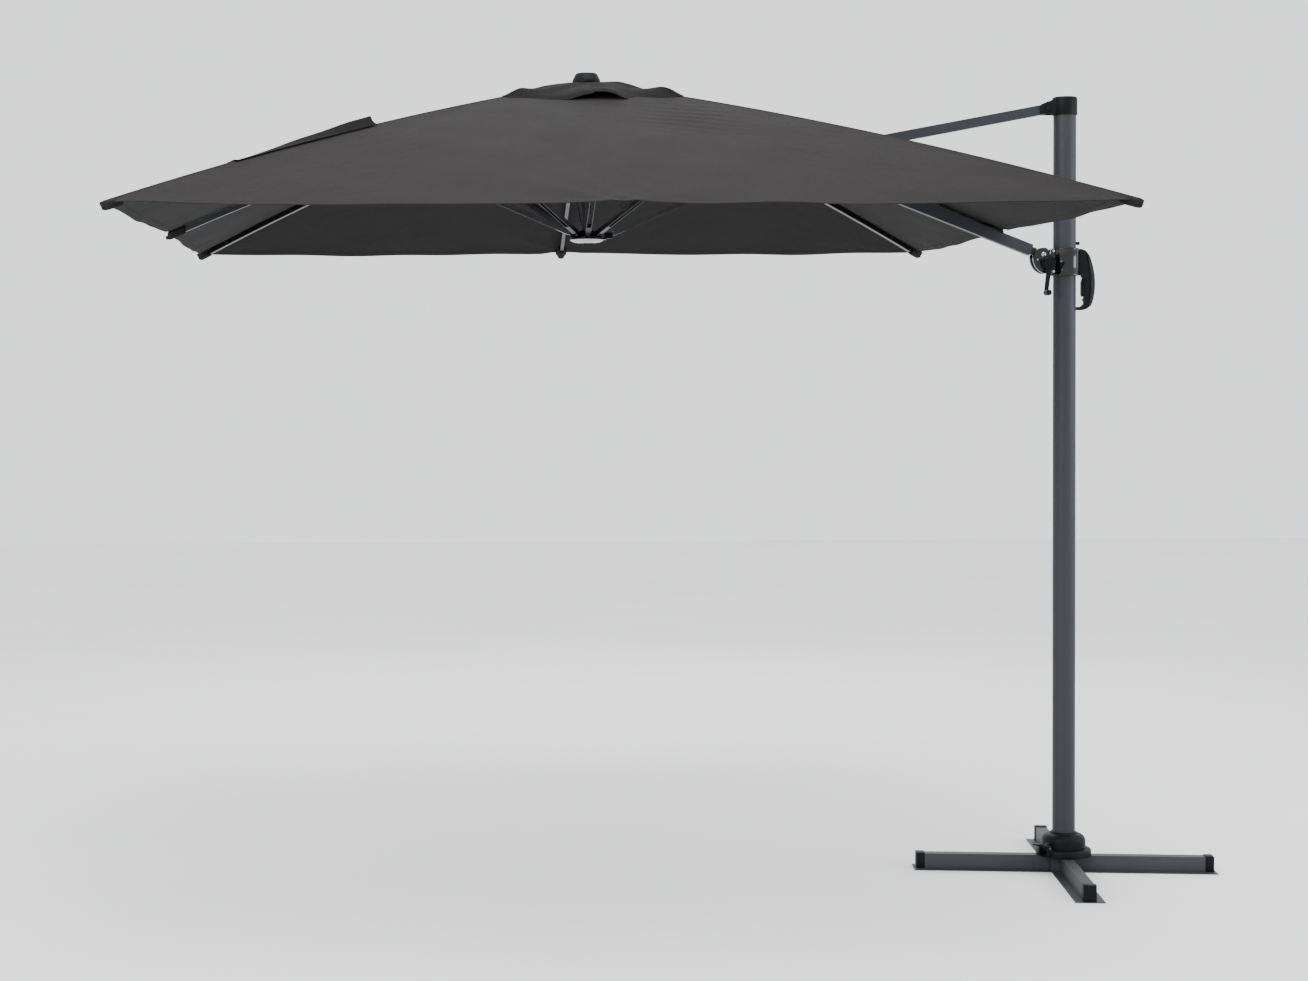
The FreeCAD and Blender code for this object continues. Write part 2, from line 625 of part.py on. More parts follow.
def make_post():
    outer = rod(V(CROWN_X, 0, RUNNER_Z - 20), V(CROWN_X, 0, rib_height(0, RIB_PIVOT_R)), POST_R)
    inner = rod(V(CROWN_X, 0, RUNNER_Z - 21), V(CROWN_X, 0, 2760), POST_R - 2)
    return outer.cut(inner)


def make_finial():
    profile = [(0, 2793), (47, 2793), (49.5, 2796), (49.5, 2805), (48, 2807), (38.5, 2825), (35, 2828),
               (30, 2829), (0, 2829)]
    stem = rod(V(0, 0, rib_height(0, RIB_PIVOT_R) + 10.3), V(0, 0, 2793), 12)
    return moved(joined(lathe(profile), stem), x=CROWN_X)


def make_runner():
    body = rod(V(0, 0, RUNNER_Z - 16), V(0, 0, RUNNER_Z - 9), 52)
    sleeve = rod(V(0, 0, RUNNER_Z - 16), V(0, 0, RUNNER_Z + 14), 24)
    shapes = [body, sleeve]
    for name, degrees in DIRECTIONS.items():
        if name != "mast":
            ears = clevis(RUNNER_PIVOT_R, RUNNER_Z, RUNNER_Z - 12, RUNNER_Z + 9, 5.5, 20)
            shapes += [turned(s, degrees) for s in ears]
    ears = clevis(MAST_BRACE_PIVOT, RUNNER_Z, RUNNER_Z - 12, RUNNER_Z + 9, 5.5, 68)
    shapes += [moved(s, y=MAST_RIB_SHIFT) for s in ears]
    arm_y = MAST_RIB_SHIFT - 14
    shapes.append(box(20, 70, arm_y, arm_y + 5, RUNNER_Z - 16, RUNNER_Z - 9))
    shapes.append(box(64, 70, arm_y, MAST_RIB_SHIFT + 9, RUNNER_Z - 16, RUNNER_Z + 6))
    bore = rod(V(0, 0, RUNNER_Z - 30), V(0, 0, RUNNER_Z + 30), POST_R + 0.5)
    return moved(joined(*shapes).cut(bore), x=CROWN_X)


def make_runner_ring():
    """The bright dished ring under the runner."""
    top = RUNNER_Z - 16.2
    profile = [(56, top), (58.5, top - 2), (57, top - 6), (46, top - 11), (26, top - 14), (26, top - 11),
               (44, top - 8), (50, top - 5), (50, top)]
    return moved(lathe(profile), x=CROWN_X)


def make_vent_cover():
    """The small square roof over the vent, domed in four bowed panels."""
    gores = []
    for degrees in range(45, 405, 90):
        corners = []
        for a in (degrees, degrees + 90):
            angle = math.radians(a)
            direction = V(math.cos(angle), math.sin(angle), 0)
            low = rib_height(45, COVER_HALF * math.sqrt(2)) + RIB_DEPTH / 2 + RIB_GAP + CLOTH + COVER_RISE
            start = direction * COVER_START + V(CROWN_X, 0, CROWN_Z + COVER_RISE)
            end = direction * (COVER_HALF * math.sqrt(2)) + V(CROWN_X, 0, low)
            corners.append(curve([start, (start + end) * 0.5 + V(0, 0, 10), end]))
        gores.append(sheet_solid(corners[0], corners[1], CLOTH))
    return joined(*gores)


def make_strap():
    """The tie that holds the folded canopy, sewn by its lower end beside the front left rib."""
    degrees = DIRECTIONS["front_left"]
    lift = RIB_DEPTH / 2 + RIB_GAP + CLOTH + 3
    edge = rib_bezier(degrees, *STRAP_REACH, lift)
    angle = math.radians(STRAP_TILT)
    tilt = V(0, -STRAP_WIDTH * math.cos(angle), -STRAP_WIDTH * math.sin(angle))
    far = moved(edge, tilt.x, tilt.y, tilt.z)
    solid = sheet_solid(edge, far, 1.5)
    return place_on_canopy(moved(solid, y=-8, z=2.0), degrees)


def main():
    leg, cap, bolt = make_leg(), make_leg_cap(), make_leg_bolt()
    yaw = CROSS_YAW
    for name, degrees in (("right", 0), ("back", 90), ("left", 180), ("front", 270)):
        save("leg_" + name, turned(leg, degrees + yaw))
    save("leg_end_caps", *[turned(cap, 90 * k + yaw) for k in range(4)])
    save("leg_bolts", *[turned(bolt, 90 * k + yaw) for k in range(4)])
    save("base_centre", turned(make_base_centre(), yaw))
    save("fixed_ring", make_fixed_ring())
    save("pedal_pin", turned(across(*PEDAL_PIVOT, 4, 21), PEDAL_AZIMUTH))
    save("lock_pedal", make_pedal())
    save("mast_tube", make_mast_tube())
    save("turn_bushes", *make_turn_bush())
    save("foot_cover", make_foot_cover())
    save("top_cap", make_top_cap())
    save("mast_pins", *make_mast_pins())
    save("slider_collar", make_collar())
    save("slider_liner", make_liner())
    save("slider_housing", make_housing())
    save("slider_pins", *make_slider_pins())
    save("pull_grip", make_grip())
    save("grip_trigger", make_trigger())
    save("winch_drum", make_drum())
    save("crank_arm", make_crank())
    save("crank_knob", make_knob())
    save("boom_tube", make_boom())
    save("boom_foot", make_boom_foot())
    save("knee_pin", make_knee_pin())
    save("link_tube", make_link())
    save("link_fork", *make_link_fork())
    save("crown_hub", make_crown_hub())
    save("centre_post", make_post())
    save("finial", make_finial())
    save("vent_cover", make_vent_cover())
    save("runner", make_runner())
    save("runner_ring", make_runner_ring())
    save("tie_strap", make_strap())
    for name, degrees in DIRECTIONS.items():
        save("rib_" + name, make_rib(name, degrees))
        save("brace_" + name, make_brace(name, degrees))
        save("cloth_" + name, make_cloth(name, degrees))


main()
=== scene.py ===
import math

import bmesh
import bpy
import numpy as np
from mathutils import Matrix, Vector


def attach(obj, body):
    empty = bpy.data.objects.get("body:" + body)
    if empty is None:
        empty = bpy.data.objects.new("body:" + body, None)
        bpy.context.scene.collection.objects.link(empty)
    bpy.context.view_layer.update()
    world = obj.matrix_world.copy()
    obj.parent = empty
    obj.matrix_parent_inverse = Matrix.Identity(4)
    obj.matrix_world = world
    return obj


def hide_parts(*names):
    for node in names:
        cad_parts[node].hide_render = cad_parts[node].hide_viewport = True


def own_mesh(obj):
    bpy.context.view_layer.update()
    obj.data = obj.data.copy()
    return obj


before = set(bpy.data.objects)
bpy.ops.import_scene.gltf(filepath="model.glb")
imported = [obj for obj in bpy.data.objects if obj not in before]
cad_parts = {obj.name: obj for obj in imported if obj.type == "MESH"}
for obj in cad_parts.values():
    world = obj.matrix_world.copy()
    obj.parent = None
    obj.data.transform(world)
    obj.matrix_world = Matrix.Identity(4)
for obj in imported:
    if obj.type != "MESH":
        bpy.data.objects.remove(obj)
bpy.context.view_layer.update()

# Canopy, in metres. These are the sizes that the frame was built with.
CROWN_X = -1.694
CANOPY_HALF = 1.5
CANOPY_SLOPE = 1.39
COVER_SLOPE = 0.30
SIDE_DIP = 0.028
CROWN_Z = 2.786
EDGE_Z = 2.274
BOW_SIDE = 0.025
BOW_CORNER = 0.030
RIB_START = 0.060
VENT_HALF = 0.170
COVER_HALF = 0.305
COVER_START = 0.044
COVER_RISE = 0.007
CLOTH = 0.0012
RIB_TOP_DROP = 0.0047
RIB_DEPTH = 0.020
SLOT_RADII = (0.706, 0.858)
SLOT_HALF = 0.028
SHARP_EDGE = 32.0
HEM = 0.024
COVER_HEM = 0.016
HEM_RAMP = 0.0015
HEM_LIFT = 0.0013
TRIM_LIFT = 0.0012
TRIM = (0.012, 0.016)
TRIM_SIDE = (0.010, 0.014)
GORE_GRID = (64, 16)
COVER_GRID = (30, 12)
SLOT_COLUMNS = 5
POCKET_SKIN = 0.0009

# Arm and winch pivots, as (x, z)
BOOM_PIVOT = (-0.082, 2.187)
WINCH = (-0.068, 2.156)
CRANK_END = (-0.081, 2.050)

# Studio
SKY_STRENGTH = 1.65
LENS_MM = 64.07
LENS_SHIFT = (0.1468, -0.0551)
EYE = (-2.294, -8.212, 1.783)
EYE_TURN = {"yaw": -1.10, "pitch": 90 - 1.17, "roll": -0.21}

DIRECTIONS = {
    "mast": 0, "back_right": 45, "back": 90, "back_left": 135,
    "outer": 180, "front_left": 225, "front": 270, "front_right": 315,
}


# Materials -------------------------------------------------------------------------------------

class Nodes:
    """A short way to add shader nodes to a new material."""

    def __init__(self, name):
        self.material = bpy.data.materials.new(name)
        self.material.use_nodes = True
        self.tree = self.material.node_tree
        self.shader = self.tree.nodes["Principled BSDF"]
        self.place = self.add("ShaderNodeTexCoord")

    def add(self, kind, **values):
        node = self.tree.nodes.new(kind)
        for key, value in values.items():
            if hasattr(node, key):
                setattr(node, key, value)
            else:
                node.inputs[key.replace("_", " ")].default_value = value
        return node

    def link(self, out, into):
        self.tree.links.new(out, into)

    def mapped(self, source, scale):
        node = self.add("ShaderNodeMapping")
        node.inputs["Scale"].default_value = scale
        self.link(self.place.outputs[source], node.inputs["Vector"])
        return node.outputs["Vector"]

    def noise(self, vector, scale, detail=3.0, roughness=0.5):
        node = self.add("ShaderNodeTexNoise", Scale=scale, Detail=detail, Roughness=roughness)
        self.link(vector, node.inputs["Vector"])
        return node.outputs["Fac"]

    def ramp(self, value, stops):
        node = self.add("ShaderNodeValToRGB")
        elements = node.color_ramp.elements
        while len(elements) < len(stops):
            elements.new(0.5)
        for element, (at, colour) in zip(elements, stops):
            element.position = at
            element.color = (*colour, 1.0)
        self.link(value, node.inputs["Fac"])
        return node.outputs["Color"]

    def spread(self, value, low, high):
        node = self.add("ShaderNodeMapRange")
        node.inputs["To Min"].default_value = low
        node.inputs["To Max"].default_value = high
        self.link(value, node.inputs["Value"])
        return node.outputs["Result"]

    def maths(self, kind, a, b):
        node = self.add("ShaderNodeMath", operation=kind)
        for k, value in enumerate((a, b)):
            if isinstance(value, (int, float)):
                node.inputs[k].default_value = value
            else:
                self.link(value, node.inputs[k])
        return node.outputs["Value"]

    def bump(self, height, distance, strength=1.0, after=None):
        node = self.add("ShaderNodeBump", Strength=strength, Distance=distance)
        self.link(height, node.inputs["Height"])
        if after:
            self.link(after, node.inputs["Normal"])
        return node.outputs["Normal"]

    def set(self, **values):
        for key, value in values.items():
            self.shader.inputs[key.replace("_", " ")].default_value = value


def shade(colour, share):
    return tuple(c * share for c in colour)


def woven_cloth(name, colour, sheen):
    """Plain-woven polyester: fine threads, slubs along the weft, and slow mottling."""
    n = Nodes(name)
    uv = n.place.outputs["UV"]
    warp = n.add("ShaderNodeTexWave", bands_direction="X", Scale=330.0, Distortion=0.6, Detail=1.0)
    weft = n.add("ShaderNodeTexWave", bands_direction="Y", Scale=330.0, Distortion=0.6, Detail=1.0)
    n.link(uv, warp.inputs["Vector"])
    n.link(uv, weft.inputs["Vector"])
    threads = n.maths("MAXIMUM", warp.outputs["Fac"], weft.outputs["Fac"])
    slubs = n.noise(n.mapped("UV", (7.0, 210.0, 1.0)), 1.0, 4.0, 0.6)
    mottle = n.noise(n.mapped("UV", (1.0, 1.0, 1.0)), 5.5, 5.0, 0.62)
    tone = n.maths("ADD", n.maths("MULTIPLY", slubs, 0.45), n.maths("MULTIPLY", mottle, 0.55))
    dyed = n.ramp(tone, [(0.30, shade(colour, 0.86)), (0.50, colour), (0.72, shade(colour, 1.15))])
    mix = n.add("ShaderNodeMix", data_type="RGBA", blend_type="MULTIPLY")
    mix.inputs["Factor"].default_value = 0.28
    n.link(dyed, mix.inputs[6])
    n.link(n.ramp(threads, [(0.0, (0.45, 0.45, 0.45)), (1.0, (1.0, 1.0, 1.0))]), mix.inputs[7])
    n.link(mix.outputs[2], n.shader.inputs["Base Color"])
    n.link(n.spread(mottle, 0.80, 0.94), n.shader.inputs["Roughness"])
    crease = n.noise(n.mapped("UV", (1.0, 0.55, 1.0)), 8.0, 3.0, 0.55)
    soft = n.bump(crease, 0.012, 0.5)
    ribbed = n.bump(slubs, 0.0006, 0.5, soft)
    n.link(n.bump(threads, 0.00022, 0.8, ribbed), n.shader.inputs["Normal"])
    n.set(Sheen_Weight=sheen, Sheen_Roughness=0.45, Specular_IOR_Level=0.12)
    n.shader.inputs["Sheen Tint"].default_value = (*shade(colour, 3.0), 1.0)
    return n.material


def powder_coat(name, colour, roughness, grain, streak, metallic=0.25):
    """Baked powder paint: orange peel, faint drawing streaks and small tone changes."""
    n = Nodes(name)
    body = n.place.outputs["Object"]
    peel = n.noise(body, grain, 2.0, 0.5)
    lines = n.noise(n.mapped("Object", streak), 1.0, 3.0, 0.55)
    cloud = n.noise(body, 4.5, 4.0, 0.6)
    tone = n.maths("ADD", n.maths("MULTIPLY", lines, 0.5), n.maths("MULTIPLY", cloud, 0.5))
    n.link(n.ramp(tone, [(0.30, shade(colour, 0.88)), (0.50, colour), (0.70, shade(colour, 1.14))]),
           n.shader.inputs["Base Color"])
    n.link(n.spread(cloud, roughness - 0.05, roughness + 0.07), n.shader.inputs["Roughness"])
    n.link(n.bump(peel, 0.00035, 0.45), n.shader.inputs["Normal"])
    n.set(Metallic=metallic, Specular_IOR_Level=0.30)
    return n.material


def moulded(name, colour, low, high, grain, depth, gloss=0.15, coat=0.0):
    """Moulded plastic: fine spark-eroded grain, wear in the gloss, faint tone changes."""
    n = Nodes(name)
    body = n.place.outputs["Object"]
    pits = n.noise(body, grain, 2.0, 0.6)
    cloud = n.noise(body, 22.0, 4.0, 0.6)
    n.link(n.ramp(cloud, [(0.32, shade(colour, 0.80)), (0.55, colour), (0.75, shade(colour, 1.30))]),
           n.shader.inputs["Base Color"])
    n.link(n.spread(cloud, low, high), n.shader.inputs["Roughness"])
    n.link(n.bump(pits, depth, 0.5), n.shader.inputs["Normal"])
    n.set(Specular_IOR_Level=gloss, Coat_Weight=coat, Coat_Roughness=0.05)
    return n.material


def brushed(name, colour, low, high, streak, depth):
    """Drawn or brushed metal with lines along the part."""
    n = Nodes(name)
    lines = n.noise(n.mapped("Object", streak), 1.0, 4.0, 0.65)
    cloud = n.noise(n.place.outputs["Object"], 9.0, 3.0, 0.55)
    tone = n.maths("ADD", n.maths("MULTIPLY", lines, 0.6), n.maths("MULTIPLY", cloud, 0.4))
    n.link(n.ramp(tone, [(0.28, shade(colour, 0.78)), (0.50, colour), (0.72, shade(colour, 1.18))]),
           n.shader.inputs["Base Color"])
    n.link(n.spread(lines, low, high), n.shader.inputs["Roughness"])
    n.link(n.bump(lines, depth, 0.5), n.shader.inputs["Normal"])
    n.set(Metallic=1.0)
    return n.material


CLOTH_TOP = woven_cloth("cloth_top", (0.0172, 0.0158, 0.0152), 0.03)
# Painted shade: the underside is the same cloth as the top, given a darker, cooler colour to stand for the
# shade under the canopy.
CLOTH_UNDER_PAINTED_SHADE = woven_cloth("cloth_under_painted_shade", (0.0112, 0.0110, 0.0110), 0.02)
CLOTH_VENT = woven_cloth("cloth_vent", (0.0034, 0.0033, 0.0032), 0.008)
CLOTH_TAPE = woven_cloth("cloth_tape", (0.0042, 0.0042, 0.0042), 0.015)
FINISHES = {
    "frame_paint": powder_coat("frame_paint", (0.0195, 0.0218, 0.0258), 0.52, 900.0,
                               (60.0, 60.0, 1.2), 0.10),
    "leg_paint": powder_coat("leg_paint", (0.0310, 0.0325, 0.0355), 0.52, 700.0, (3.0, 3.0, 90.0), 0.10),
    "dark_aluminium": powder_coat("dark_aluminium", (0.0195, 0.0218, 0.0258), 0.48, 1100.0,
                                  (2.0, 60.0, 60.0), 0.20),
    "gloss_black": moulded("gloss_black", (0.0030, 0.0030, 0.0040), 0.10, 0.20, 900.0, 0.00004, 0.26, 0.15),
    "polished_black": moulded("polished_black", (0.0030, 0.0030, 0.0042), 0.09, 0.20, 900.0, 0.00003,
                              0.22, 0.30),
    "matte_black": moulded("matte_black", (0.0036, 0.0038, 0.0044), 0.42, 0.60, 1100.0, 0.00025, 0.11),
    "rib_aluminium": brushed("rib_aluminium", (0.070, 0.071, 0.075), 0.24, 0.40, (40.0, 40.0, 40.0),
                             0.00008),
    "bright_steel": brushed("bright_steel", (0.38, 0.38, 0.39), 0.16, 0.30, (300.0, 300.0, 30.0),
                            0.00006),
}

SLOT_NODES = {
    "frame_paint": ["mast_tube"],
    "leg_paint": ["leg_right", "leg_back", "leg_left", "leg_front", "base_centre"],
    "bright_steel": ["leg_bolts", "pedal_pin", "mast_pins", "slider_pins", "knee_pin", "runner_ring"],
    "dark_aluminium": ["boom_tube", "link_tube", "link_fork", "boom_foot"],
    "gloss_black": ["slider_collar", "slider_housing", "pull_grip", "grip_trigger", "runner"],
    "matte_black": ["leg_end_caps", "fixed_ring", "foot_cover", "top_cap", "slider_liner",
                    "turn_bushes", "lock_pedal", "crank_arm", "crank_knob", "winch_drum",
                    "crown_hub", "finial"],
    "rib_aluminium": ["centre_post"] + ["rib_" + d for d in DIRECTIONS] + ["brace_" + d for d in DIRECTIONS],
}


def paint(thing, material):
    """Put the finish in every material slot, so that no face keeps the frame's plain colour."""
    if thing.data.materials:
        for slot in thing.material_slots:
            slot.material = material
    else:
        thing.data.materials.append(material)


for finish, names in SLOT_NODES.items():
    for name in names:
        paint(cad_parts[name], FINISHES[finish])


# Mesh helpers ----------------------------------------------------------------------------------

def add_object(name, mesh, body):
    thing = bpy.data.objects.new(name, mesh)
    bpy.context.scene.collection.objects.link(thing)
    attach(thing, body)
    return thing


def smooth(mesh, angle=None):
    for polygon in mesh.polygons:
        polygon.use_smooth = True
    if angle is not None:
        mesh.set_sharp_from_angle(angle=math.radians(angle))


def softened(node, body, finish, width):
    """The node's own shape with its hard edges rounded."""
    shape = bmesh.new()
    shape.from_mesh(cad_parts[node].data)
    bmesh.ops.remove_doubles(shape, verts=shape.verts, dist=0.00002)
    bmesh.ops.dissolve_limit(shape, angle_limit=math.radians(0.8), verts=shape.verts, edges=shape.edges)
    hard = [e for e in shape.edges
            if len(e.link_faces) == 2 and e.calc_face_angle(0) > math.radians(SHARP_EDGE)]
    bmesh.ops.bevel(shape, geom=hard, offset=width, segments=2, profile=0.5,
                    affect="EDGES", clamp_overlap=True)
    bmesh.ops.remove_doubles(shape, verts=shape.verts, dist=0.00002)
    bmesh.ops.triangulate(shape, faces=[f for f in shape.faces if len(f.verts) > 4])
    mesh = bpy.data.meshes.new(node + "_soft")
    shape.to_mesh(mesh)
    shape.free()
    smooth(mesh, 38)
    mesh.materials.clear()
    thing = add_object(node + "_soft", mesh, body)
    paint(thing, FINISHES[finish])
    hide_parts(node)
    return thing


def mesh_from(name, points, faces):
    mesh = bpy.data.meshes.new(name)
    mesh.from_pydata([tuple(p) for p in points], [], faces)
    mesh.validate()
    mesh.update()
    return mesh


def lathed(name, profile, axis_point, steps=96):
    """A closed outline of (radius, height) points turned about a vertical axis."""
    points, faces = [], []
    for k in range(steps):
        angle = 2 * math.pi * k / steps
        for r, z in profile:
            points.append((axis_point[0] + r * math.cos(angle), axis_point[1] + r * math.sin(angle), z))
    n = len(profile)
    for k in range(steps):
        for j in range(n):
            a, b = k * n + j, k * n + (j + 1) % n
            c, d = ((k + 1) % steps) * n + (j + 1) % n, ((k + 1) % steps) * n + j
            faces.append((a, d, c, b))
    return mesh_from(name, points, faces)


# Canopy surfaces -------------------------------------------------------------------------------

def is_corner(degrees):
    return degrees % 90 == 45


def heading(degrees):
    angle = math.radians(degrees)
    return np.array([math.cos(angle), math.sin(angle), 0.0])


def rib_end(degrees):
    return CANOPY_HALF * math.sqrt(2) if is_corner(degrees) else CANOPY_HALF - SIDE_DIP


def canopy_poles(degrees):
    crown = np.array([CROWN_X, 0.0, 0.0])
    bow = BOW_CORNER if is_corner(degrees) else BOW_SIDE
    start = crown + heading(degrees) * RIB_START + np.array([0, 0, CROWN_Z])
    end = crown + heading(degrees) * rib_end(degrees) + np.array([0, 0, EDGE_Z])
    return start, (start + end) / 2 + np.array([0, 0, 2 * bow]), end


def along_poles(poles, t):
    t = np.asarray(t, float)[..., None]
    return poles[0] * (1 - t) ** 2 + poles[1] * 2 * t * (1 - t) + poles[2] * t * t


def rib_top(degrees, radius):
    """Height of the cloth over a rib, at a radius from the crown."""
    t = (radius - RIB_START) / (rib_end(degrees) - RIB_START)
    return float(along_poles(canopy_poles(degrees), t)[2])


COVER_EDGE_Z = rib_top(45, COVER_HALF * math.sqrt(2)) + COVER_RISE


def cover_poles(degrees):
    """The vent cover's own ridge lines, which lie just over the canopy."""
    crown = np.array([CROWN_X, 0.0, 0.0])
    if not is_corner(degrees):
        pair = zip(cover_poles(degrees - 45), cover_poles(degrees + 45))
        return tuple((a + b) / 2 for a, b in pair)
    start = crown + heading(degrees) * COVER_START + np.array([0, 0, CROWN_Z + COVER_RISE])
    end = crown + heading(degrees) * COVER_HALF * math.sqrt(2) + np.array([0, 0, COVER_EDGE_Z])
    return start, (start + end) / 2 + np.array([0, 0, 0.010]), end


def ridge(kind, degrees, s):
    """A ridge line at shares s of the way from the cloth's inner edge to its hem."""
    if kind == "cover":
        return along_poles(cover_poles(degrees), s)
    hole = VENT_HALF * math.sqrt(2) if is_corner(degrees) else VENT_HALF
    first = (hole - RIB_START) / (rib_end(degrees) - RIB_START)
    return along_poles(canopy_poles(degrees), first + np.asarray(s) * (1 - first))


def step(low, high, x):
    x = np.clip((x - low) / (high - low), 0, 1)
    return x * x * (3 - 2 * x)


def hump(x, centre, width):
    return np.exp(-((x - centre) / width) ** 2)


def canopy_relief(p, s, m, span, pair):
    """How far the stretched cloth leaves the straight line between two ribs."""
    x, y = p[..., 0] - CROWN_X, p[..., 1]
    gap = span * m * (1 - m)
    quiet = 1 - np.exp(-(gap / 0.05) ** 2)
    lift = -0.009 * s * 4 * m * (1 - m)
    slow = (np.sin(2 * math.pi * (x / 0.61 + y / 0.83) + 1.3)
            + 0.7 * np.sin(2 * math.pi * (x / 0.37 - y / 0.49) + 0.4)
            + 0.45 * np.sin(2 * math.pi * (y / 0.27 + x / 0.9) + 2.1))
    lift = lift + 0.0013 * slow * quiet
    for degrees in pair:
        tip = ridge("canopy", degrees, 1.0)
        dx, dy = p[..., 0] - tip[0], p[..., 1] - tip[1]
        far = np.hypot(dx, dy)
        turn = np.arctan2(dy, dx)
        pull = np.exp(-far / 0.20) * far / (far + 0.03)
        calm = 1 - 0.8 * np.exp(-(1 - s) * CANOPY_SLOPE / 0.05)
        lift = lift + 0.0036 * pull * calm * np.cos(11 * turn + math.radians(degrees) * 3 + 0.8) * quiet
        if not is_corner(degrees):
            lift = lift + 0.0040 * np.exp(-((far - 0.035) / 0.022) ** 2) * np.abs(np.cos(2 * turn))
    folds = np.sin(2 * math.pi * (0.42 * x + y) / 0.055) * np.exp(-(((x - 0.27) / 0.13) ** 2
                                                                   + ((y + 0.62) / 0.16) ** 2))
    lift = lift + 0.0022 * folds * quiet
    edge = np.exp(-(1 - s) * 1.45 / 0.07)
    flutter = np.sin(2 * math.pi * (x + 0.35) / 0.47) * np.sin(2 * math.pi * (y - 0.2) / 0.39)
    return lift + 0.0014 * edge * flutter * quiet


def cover_relief(p, s, m, span, pair):
    """The loose waves of the vent cover: an arch in the middle of each side, and puffed corners."""
    corner = pair[0] if is_corner(pair[0]) else pair[1]
    side = pair[0] if pair[1] == corner else pair[1]
    out, cross = heading(side), heading(side + 90)
    x, y = p[..., 0] - CROWN_X, p[..., 1]
    forward = x * out[0] + y * out[1]
    a = (x * cross[0] + y * cross[1]) / np.maximum(forward, 1e-6)
    width, height, shift = {90: (0.30, 0.018, -0.1), 270: (0.25, 0.026, 0.05)}.get(
        side % 360, (0.28, 0.020, 0.0))
    rise = np.exp(-np.abs((a - shift) / width) ** 3.2) * (1 - np.abs(a) ** 6)
    arch = height * rise * step(0.48, 1.0, s)
    shoulder = 0.007 * (hump(a, shift + width * 1.55, 0.16) + hump(a, shift - width * 1.55, 0.16))
    near_ridge = np.abs(a) ** 4
    right = corner % 360 in (45, 315)
    if right:
        bump = 0.012 * hump(s, 0.80, 0.13) + 0.007 * hump(s, 0.26, 0.14) - 0.008 * hump(s, 0.57, 0.09)
    else:
        bump = 0.008 * hump(s, 0.78, 0.10) - 0.003 * hump(s, 0.60, 0.10)
    puff = 0.007 * np.sin(math.pi * np.clip(s, 0, 1) ** 0.7) * (1 - 0.7 * near_ridge)
    settle = -0.0045 * step(0.88, 1.0, s)
    ripple = 0.0034 * np.sin(a * 10.0 + s * 8.0 + math.radians(corner)) * step(0.2, 0.7, s) * (1 - a * a)
    return arch - shoulder * step(0.6, 1.0, s) * 0.4 + bump * near_ridge + puff + settle + ripple


def cover_flare(p, s, pair):
    """The cover's sides are cut in a shallow curve, so their middles reach further down the slope."""
    side = pair[0] if is_corner(pair[1]) else pair[1]
    out, cross = heading(side), heading(side + 90)
    x, y = p[..., 0] - CROWN_X, p[..., 1]
    a = (x * cross[0] + y * cross[1]) / np.maximum(x * out[0] + y * out[1], 1e-6)
    return 0.048 * (1 - a ** 4) * s ** 2, out


RELIEF = {"canopy": canopy_relief, "cover": cover_relief}
SEAM_COLUMNS = np.array([0, 0.004, 0.0065, 0.0085, 0.014, 0.028, 0.040])
SEAM_HEIGHT = 0.0013


def seam_height(distance):
    return SEAM_HEIGHT * (1 - step(0.0065, 0.0085, distance))


def half_gore(kind, own, other, s, spread):
    """Points, distances from the ridge, and seam heights, to one column past the middle."""
    a, b = ridge(kind, own, s), ridge(kind, other, s)
    span = np.linalg.norm(a - b, axis=1)
    fit = np.minimum(1, span / 2 * 0.6 / SEAM_COLUMNS[-1])
    near = SEAM_COLUMNS[None, :] * fit[:, None]
    share = np.linspace(0, 1, spread + 1)[1:][None, :]
    columns = np.hstack([near, near[:, -1:] + (span[:, None] / 2 - near[:, -1:]) * share])
    m = columns / span[:, None]
    m = np.hstack([m, 1 - m[:, -2:-1]])
    p = a[:, None, :] * (1 - m[..., None]) + b[:, None, :] * m[..., None]
    grid_s = np.broadcast_to(s[:, None], m.shape)
    grid_span = np.broadcast_to(span[:, None], m.shape)
    distance = m * grid_span
    raised = seam_height(distance) * is_corner(own) + seam_height(grid_span - distance) * is_corner(other)
    p = p.copy()
    if kind == "cover":
        reach, out = cover_flare(p, grid_s, (own, other))
        p = p + reach[..., None] * np.array([out[0], out[1], -0.40])
    p[..., 2] += RELIEF[kind](p, grid_s, m, grid_span, (own, other)) + raised
    return p, distance, raised


def whole_gore(kind, own, s, spread):
    """The grid over one rib, with its normals. Neighbours share the points and normals at the split."""
    left, left_d, left_h = half_gore(kind, own, own + 45, s, spread)
    right, right_d, right_h = half_gore(kind, own, own - 45, s, spread)
    p = np.concatenate([right[:, :0:-1], left], axis=1)
    d = np.concatenate([-right_d[:, :0:-1], left_d], axis=1)
    h = np.concatenate([right_h[:, :0:-1], left_h], axis=1)
    normal = np.cross(np.gradient(p, axis=0), np.gradient(p, axis=1))
    normal /= np.linalg.norm(normal, axis=2, keepdims=True)
    return p[:, 1:-1], d[:, 1:-1], h[:, 1:-1], normal[:, 1:-1]


